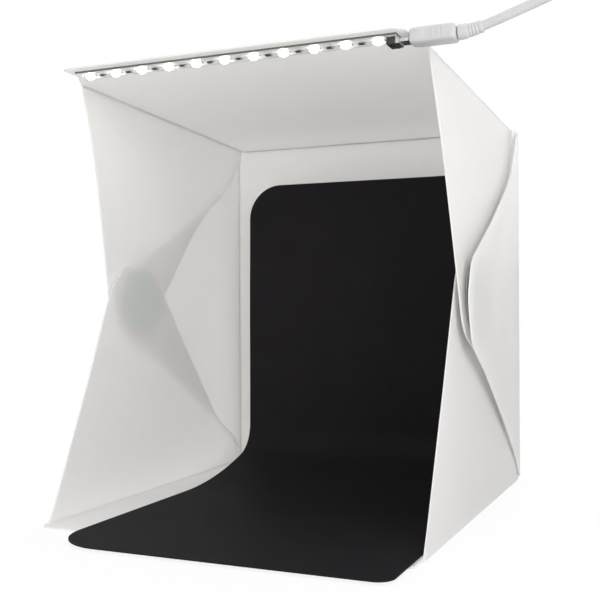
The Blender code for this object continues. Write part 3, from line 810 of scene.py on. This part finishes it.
def outer_skin(out, away, into, flap_out):
    """Section of a thin skin over both sheets, round at the corner. The flap faces flap_out."""
    round_part = [(into - out) * skin_radius + (out * s + away * c) * (skin_radius + skin)
                  for s, c in quarter_turn(8)]
    return ([-out * outside + away * skin] + round_part
            + [into * outside + flap_out * skin, into * outside - flap_out * skin_sunk,
               (into - out) * skin_root, -out * outside - away * skin_sunk])


def lower_fold(side, sign):
    """Between the bottom panel and the lower flap, on the inner side."""
    out = Vector((sign, 0, 0))
    ends = [BOX @ Vector((sign * (half_width + gap / 2), share * depth, sheet)) for share in lower_span]
    foot = [out * (gap / 2 * way) - UP * (sheet * 0.6) for way in (1, -1)]
    crease(side + "_lower_crease", foot + hollow(out * (gap / 2), -out, UP), ends)


def flap_fold(flap, ends, out, away, into, flap_out):
    """A crease inside a fold and a skin outside it. The four directions are out past the panel's edge, away
    from its outer face, from the fold into the flap, and away from the flap's outer face."""
    foot = [into * (sheet * 0.4) - out * (sheet + gap * share) for share in (0.1, 0.9)]
    section = foot + hollow((into - out) * sheet, -out, into)
    crease(flap + "_crease", section, ends)
    crease(flap + "_skin", outer_skin(out, away, into, flap_out), ends)


def upper_fold(side, sign):
    """Between the top panel and the upper flap."""
    turn = TOP.to_3x3()
    out = Vector((sign, 0, 0))
    lean = Matrix.Rotation(-sign * upper_lean, 3, "Y")
    ends = [TOP @ Vector((sign * upper_fold_x, -share * depth, 0)) for share in upper_span]
    flap_fold(side + "_upper", ends, turn @ out, turn @ UP, turn @ (lean @ -UP), turn @ (lean @ out))


def back_fold(side, sign):
    """Between the back panel and the back flap."""
    out = Vector((sign, 0, 0))
    lean = Matrix.Rotation(sign * back_lean, 3, "Z")
    ends = [BOX @ Vector((sign * back_fold_x, depth, share * height)) for share in back_span]
    flap_fold(side + "_back", ends, out, BACK, lean @ -BACK, lean @ out)


def middle_folds():
    """Behind the top panel, inside and out, and at the foot of the back panel."""
    turn = TOP.to_3x3()
    above, ahead = turn @ UP, turn @ -BACK
    top_half, foot_half = top_half_width - fold_inset, half_width - fold_inset
    hinge = [BOX @ Vector((x, fold_y, height)) for x in (-top_half, top_half)]
    foot = [BOX @ Vector((x, fold_y, 0)) for x in (-foot_half, foot_half)]
    behind = gap + sheet    # from the fold's line to the back panel's rear face
    section = [ahead * outside + above * skin, above * (skin * 1.2)]
    section += [BACK * y + UP * z for y, z in (
        (gap + sheet * 0.5, skin * 1.2), (behind, skin * 0.5), (behind + skin, -sheet * 0.4),
        (behind + skin, -outside), (behind - skin_sunk, -outside),
        (gap * 0.8, -sheet * 0.7), (gap * 0.2, -sheet * 0.7))]
    section += [ahead * outside - above * skin_sunk]
    crease("top_skin", section, hinge)
    section = [BACK * (gap * share) - UP * (sheet * 0.5) for share in (0.9, 0.1)]
    section += hollow(BACK * gap - UP * sheet, -BACK, -UP)
    crease("top_crease", section, hinge)
    section = [BACK * (gap * share) + UP * (sheet * 0.3) for share in (1, 0)]
    section += hollow(BACK * gap + UP * sheet, -BACK, UP)
    strip("back_foot_crease", section, foot, "base")


for side, sign in (("left", -1), ("right", 1)):
    lower_fold(side, sign)
    upper_fold(side, sign)
    back_fold(side, sign)
middle_folds()

# Light bar: lit resin drops on the lamps, pads, tracks, chip ends, and the socket's inner parts
lamp_places = [-board_left + led_left_margin + led_pitch * index for index in range(led_count)]
drop_radius, drop_height, drop_wide, drop_foot, drop_sunk = 0.0024, 0.0021, 1.12, 1.06, 0.00012
pad_height, pad_edge = 0.00026, 0.00008
lamp_pad, lamp_pad_aside = (0.0013, 0.0022, pad_height), 0.0029
chip_pad, chip_pad_beyond = (0.0010, 0.0020, pad_height), 0.0002
chip_end = (0.00028, resistor_width + 0.00004, resistor_thickness + 0.00004)
chip_end_in, chip_end_edge = 0.0001, 0.00005
track_height, track_drop = 0.00007, 0.00003
rail_width, rail_aside, rail_inset = 0.0010, 0.0050, 0.002
track_width, track_from_lamp, track_from_chip = 0.0006, 0.0034, 0.0022


def under_board(x, aside, z):
    """A place under the board, beside its middle line."""
    return TOP @ at(x, board_y + aside, z)


def lamp_drops():
    profile = [(0.0, drop_height)]
    profile += [(drop_radius * s, drop_height * c) for s, c in quarter_turn(10)[1:]]
    profile += [(drop_radius * drop_foot, -drop_sunk), (0.0, -drop_sunk)]
    drops, hanging = Build(), Matrix.Rotation(math.pi, 4, "X")
    for x in lamp_places:
        drops.turned(profile, under_board(x, 0, board_under) @ hanging, 28, drop_wide)
    drops.done("lamp_drops", [resin_mat], "lamp", "top", 60)


def solder_pads():
    """A pad at each end of each lamp and resistor, and the resistors' metal ends."""
    pads = Build()
    pad_z = board_under - pad_height / 2
    chip_z = board_under - gap - resistor_thickness / 2
    for index, x in enumerate(lamp_places):
        for way in (-1, 1):
            pads.box(lamp_pad, under_board(x + way * lamp_pad_aside, 0, pad_z), pad_edge)
        if index == led_count - 1:
            break
        for way in (-1, 1):
            end_x = x + led_pitch / 2 + way * resistor_length / 2
            pads.box(chip_pad, under_board(end_x + way * chip_pad_beyond, 0, pad_z), pad_edge)
            pads.box(chip_end, under_board(end_x - way * chip_end_in, 0, chip_z), chip_end_edge)
    pads.done("solder_pads", [solder_mat], "plated_steel", "top")


def board_tracks():
    """A rail along each edge of the board, and short tracks from the lamps to the resistors."""
    tracks = Build()
    track_z = board_under - track_drop
    for way in (-1, 1):
        tracks.box((board_left + board_right - 2 * rail_inset, rail_width, track_height),
                   under_board((board_right - board_left) / 2, way * rail_aside, track_z))
    for x in lamp_places[:-1]:
        for a, b in ((track_from_lamp, led_pitch / 2 - track_from_chip),
                     (led_pitch / 2 + track_from_chip, led_pitch - track_from_lamp)):
            tracks.box((b - a, track_width, track_height), under_board(x + (a + b) / 2, 0, track_z))
    tracks.done("board_tracks", [track_mat], "board", "top")


def socket_details():
    """The socket's dark tongue, dark walls beside and behind it, and its four soldered legs."""
    socket = Build()
    half = socket_width / 2
    cavity = socket_length - socket_wall
    tongue_length, tongue_width = cavity * 0.55, (socket_width - 2 * socket_wall) * 0.62
    socket.box((tongue_length, tongue_width, 0.0006),
               under_board(mouth_x - cavity + tongue_length / 2, 0, socket_z), 0.0001)
    leg_aside, leg_z = half + 0.0004, board_under - 0.0002
    for aside in (-leg_aside, leg_aside):
        for from_mouth in (0.0012, 0.0042):
            socket.box((0.0011, 0.0009, 0.0004), under_board(mouth_x - from_mouth, aside, leg_z), 0.0001, 1)
    # Dark walls beside the socket and behind it.
    wall, edge, tall = 0.0003, 0.00012, socket_height + 0.0003
    dark_wall_from, dark_wall_to, dark_wall_aside = mouth_x - socket_length - 0.0004, mouth_x - 0.0018, half + 0.0002
    for aside in (-dark_wall_aside, dark_wall_aside):
        socket.box((dark_wall_to - dark_wall_from, wall, tall),
                   under_board((dark_wall_from + dark_wall_to) / 2, aside, socket_z), edge, segments=2)
    socket.box((wall, socket_width + 2 * wall, tall), under_board(dark_wall_from, 0, socket_z), edge, segments=2)
    socket.done("socket_details", [dark_mat, solder_mat], "plated_steel", "top")


lamp_drops()
solder_pads()
board_tracks()
socket_details()


# Plugs
def moulding(name, stands_for, body, section, place, boxiness, round_share, end_inset,
             ridge_face, ridge_from, ridge_to, ridge_depth):
    """A rounded box in rings, with grip ridges on two sides from one share of its length to another.
    section(t) gives half its width and height at a share t, and place(t, across, up) a ring's point."""
    rows, count, ridges, far_round_share = 40, 48, 6, 0.05
    verts = []
    for i in range(rows + 1):
        t = i / rows
        half_wide, half_tall = section(t)
        from_end = min(1, t / round_share, (1 - t) / far_round_share)
        inset = end_inset * (1 - math.sqrt(max(0.0, 1 - (1 - from_end) ** 2)))
        for k in range(count):
            angle = 2 * math.pi * k / count
            c, s = math.cos(angle), math.sin(angle)
            across = math.copysign(abs(c) ** boxiness, c) * (half_wide - inset)
            up = math.copysign(abs(s) ** boxiness, s) * (half_tall - inset)
            if abs(c) > ridge_face and ridge_from < t < ridge_to:
                phase = 2 * math.pi * ridges * (t - ridge_from) / (ridge_to - ridge_from)
                across -= math.copysign(ridge_depth * (0.5 + 0.5 * math.cos(phase)), c)
            verts.append(place(t, across, up))
    made = piece(name, verts, ring_faces(rows + 1, count), [lead_mat], "lead", body, 45)
    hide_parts(stands_for)
    return made


def plug_section(t):
    """Narrower at the tip's end, and again where the strain relief leaves it."""
    widening = min(1, t / 0.18)
    narrowing = max(0, (t - 0.86) / 0.14) ** 2
    return (plug_width / 2 * (0.90 + 0.10 * widening) * (1 - 0.10 * narrowing),
            plug_height / 2 * (0.88 + 0.12 * widening) * (1 - 0.08 * narrowing))


def plug_place(t, across, up):
    return TOP @ Vector((plug_from + plug_length * t, board_y + across, plug_z + up))


def relief_sleeve():
    """A collar, then a tapering sleeve with shallow rings, bent upward along its arc."""
    collar, collar_inset, end_inset, groove = 0.0006, 0.0001, 0.00035, 0.00030
    rings_from, rings_to, steps = 0.34, 0.90, 96
    runs = [0.0, 0.0002, collar]
    radii = [relief_root_radius - collar, relief_root_radius - collar_inset, relief_root_radius]
    for k in range(1, steps):
        t = k / steps
        phase = 2 * math.pi * relief_rings * (t - rings_from) / (rings_to - rings_from)
        wave = 0.5 - 0.5 * math.cos(phase) if rings_from < t < rings_to else 0
        runs.append(collar + (relief_length - 0.0010) * t)
        radii.append(relief_root_radius + (relief_end_radius - relief_root_radius) * t - groove * wave ** 0.7)
    runs.append(relief_length)
    radii.append(relief_end_radius - end_inset)
    verts, faces = tube_mesh([relief_point(run) for run in runs], radii, 40)
    made = piece("relief_sleeve", [TOP @ v for v in verts], faces, [lead_mat], "lead", "top", 60)
    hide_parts("strain_relief")
    return made


def usb_section(t):
    """Narrower at the lead's end, with a slight waist."""
    widening = min(1, t / 0.35)
    waist = 0.0006 * math.exp(-((t - 0.45) / 0.22) ** 2)
    return (usb_body_width / 2 * (0.80 + 0.20 * widening) - waist,
            usb_body_height / 2 * (0.86 + 0.14 * widening) - waist * 0.3)


usb_at = BOX @ Vector((coil[-1].x, coil[-1].y + gap, usb_z))


def usb_place(t, across, up):
    return usb_at + Vector((across, usb_body_length * t, up))


def usb_details():
    """The far plug's tongue, its four contacts, and the two holes on each side of its shell."""
    details = Build()
    shell_at = at(*(usb_at + BACK * (usb_body_length + gap)))
    seat, tongue_length, tongue_z = 0.0030, 0.0085, 0.00075
    tongue_width = usb_shell_width - 2 * usb_shell_wall - 0.0003
    contact_pitch, contact_y, contact_z = 0.0024, seat + 0.0040, -0.00018
    hole_x, hole_y, hole_z = 0.0027, 0.0058, usb_shell_height / 2 + 0.00002
    details.box((tongue_width, tongue_length, 0.0018), shell_at @ at(0, seat + tongue_length / 2, tongue_z),
                0.0001)
    for k in range(4):
        details.box((0.0011, 0.0070, 0.00012), shell_at @ at(contact_pitch * (k - 1.5), contact_y, contact_z),
                    index=1)
    for x in (-hole_x, hole_x):
        for z in (-hole_z, hole_z):
            details.box((0.0020, 0.0022, 0.00010), shell_at @ at(x, hole_y, z))
    details.done("usb_details", [dark_mat, gold_mat], "plated_steel", "base")


def rounded(half_wide, half_tall, radius):
    """Points clockwise round a rounded rectangle, from the right end of its top."""
    steps = 8
    out = []
    for way_x, way_z, first in ((1, 1, 90), (1, -1, 0), (-1, -1, -90), (-1, 1, -180)):
        for k in range(steps + 1):
            angle = math.radians(first - 90 * k / steps)
            out.append(Vector((way_x * (half_wide - radius) + radius * math.cos(angle), 0,
                               way_z * (half_tall - radius) + radius * math.sin(angle))))
    return out


def tie_strap():
    """A woven strap round the coil, one end lapped over the other."""
    bundle = [coil_radius(k + (tie_angle / (2 * math.pi)) % 1) for k in range(2 * loops_per_layer)]
    half = tie_thickness / 2
    inner_half = (max(bundle) - min(bundle)) / 2 + cable_radius + gap
    inner_tall = coil_layer_rise + cable_diameter + 2 * gap
    loop = rounded(inner_half + half, inner_tall / 2 + half, tie_radius + half)
    top = loop[0].z
    lap = ((0.002, 0.7), (0.0048, 0.95), (0.0062, 0.95))    # (along, how far up in thicknesses)
    path = [Vector((0, 0, top))] + loop + [Vector((0, 0, top))]
    path += [Vector((x, 0, top + tie_thickness * up)) for x, up in lap]
    worn = half - 0.0001    # its outer edges are worn round
    section = ((-half, -1), (worn, -1), (half, -0.9), (half, 0.9), (worn, 1), (-half, 1))
    middle = (max(bundle) + min(bundle)) / 2
    place = BOX @ at(coil_x + middle * math.cos(tie_angle), coil_y + middle * math.sin(tie_angle),
                     inner_tall / 2 + tie_thickness) @ Matrix.Rotation(tie_angle, 4, "Z")
    verts = []
    for i, here in enumerate(path):
        along = (path[min(len(path) - 1, i + 1)] - path[max(0, i - 1)]).normalized()
        normal = Vector((-along.z, 0, along.x))
        verts += [place @ (here + normal * out + BACK * (aside * tie_width / 2)) for out, aside in section]
    made = piece("tie_strap", verts, ring_faces(len(path), len(section)), [tie_mat], "tie", "base")
    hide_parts("cable_tie")
    return made


plug_piece = moulding("plug_moulding", "plug_body", "top", plug_section, plug_place, boxiness=0.42,
                      round_share=0.05, end_inset=0.0011, ridge_face=0.72, ridge_from=0.30, ridge_to=0.68,
                      ridge_depth=0.00028)
sleeve_piece = relief_sleeve()
usb_piece = moulding("usb_moulding", "usb_plug_body", "base", usb_section, usb_place, boxiness=0.45,
                     round_share=0.12, end_inset=0.0016, ridge_face=0.7, ridge_from=0.25, ridge_to=0.65,
                     ridge_depth=0.0003)
usb_details()
strap_piece = tie_strap()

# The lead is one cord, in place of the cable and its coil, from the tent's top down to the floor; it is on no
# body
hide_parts("cable", "cable_coil")
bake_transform(lead)


# Floor, lights and background
def add_floor():
    """A pale floor, seen as nearly white close by and as white farther away."""
    floor_half, floor_drop = 6, 0.0003
    near, far = 0.35, 1.6
    mesh = bpy.data.meshes.new("floor")
    mesh.from_pydata([(x * floor_half, y * floor_half, 0) for x, y in ((-1, -1), (1, -1), (1, 1), (-1, 1))],
                     [], [[0, 1, 2, 3]])
    floor = bpy.data.objects.new("floor", mesh)
    floor.location.z = -floor_drop
    scene.collection.objects.link(floor)
    look = Look("floor_look", (0.92, 0.92, 0.92), 0.9, specular=0.1)
    glow = look.node("Emission", Strength=1.0)
    rays = look.node("LightPath")
    seen = look.math("MAXIMUM", rays.outputs["Is Camera Ray"],
                     look.math("MAXIMUM", rays.outputs["Is Glossy Ray"], rays.outputs["Is Transmission Ray"]))
    away = look.node("VectorMath", operation="LENGTH")
    look.link(look.coord.outputs["Object"], away.inputs[0])
    whiter = look.span(away.outputs["Value"], 0.88, 1.0, near, far)
    look.blend_in(look.math("MULTIPLY", seen, whiter), glow.outputs["Emission"])
    mesh.materials.append(look.mat)


def add_world():
    """Plain pale light from all sides, seen as white by the camera and in reflections."""
    world = bpy.data.worlds.new("studio")
    scene.world = world
    world.use_nodes = True
    world.node_tree.nodes.clear()
    sky = Nodes(world.node_tree)
    rays = sky.node("LightPath")
    seen = sky.math("MAXIMUM", rays.outputs["Is Camera Ray"], rays.outputs["Is Glossy Ray"])
    plain = sky.node("Background", Color=(1.0, 0.998, 0.995, 1), Strength=0.55)
    white = sky.node("Background", Color=(1, 1, 1, 1), Strength=1.0)
    sky.mix_shader(seen, plain.outputs["Background"], white.outputs["Background"],
                   surface=sky.node("OutputWorld").inputs["Surface"])


def area_light(name, place, aim, size, power):
    data = bpy.data.lights.new(name, "AREA")
    data.shape = "RECTANGLE"
    data.size, data.size_y = size
    data.energy = power
    lamp = bpy.data.objects.new(name, data)
    scene.collection.objects.link(lamp)
    way = Vector(aim) - Vector(place)
    lamp.matrix_world = Matrix.Translation(place) @ way.to_track_quat("-Z", "Y").to_matrix().to_4x4()


add_floor()
add_world()
area_light("key", (1.3, -1.3, 0.45), (-0.05, 0.0, 0.12), (1.0, 1.0), 17.6)
area_light("front", (0.35, -1.6, 0.35), (-0.02, 0.0, 0.12), (1.2, 1.0), 4.3)
area_light("above", (0.0, 0.0, 1.8), (0.0, 0.0, 0.10), (1.2, 1.2), 11.4)
area_light("left", (-1.6, 0.0, 0.6), (-0.1, 0.0, 0.12), (1.0, 1.0), 5.0)
area_light("behind", (0.0, 1.6, 0.7), (0.0, 0.1, 0.14), (1.2, 1.0), 10.6)

scene.view_settings.view_transform = "Standard"
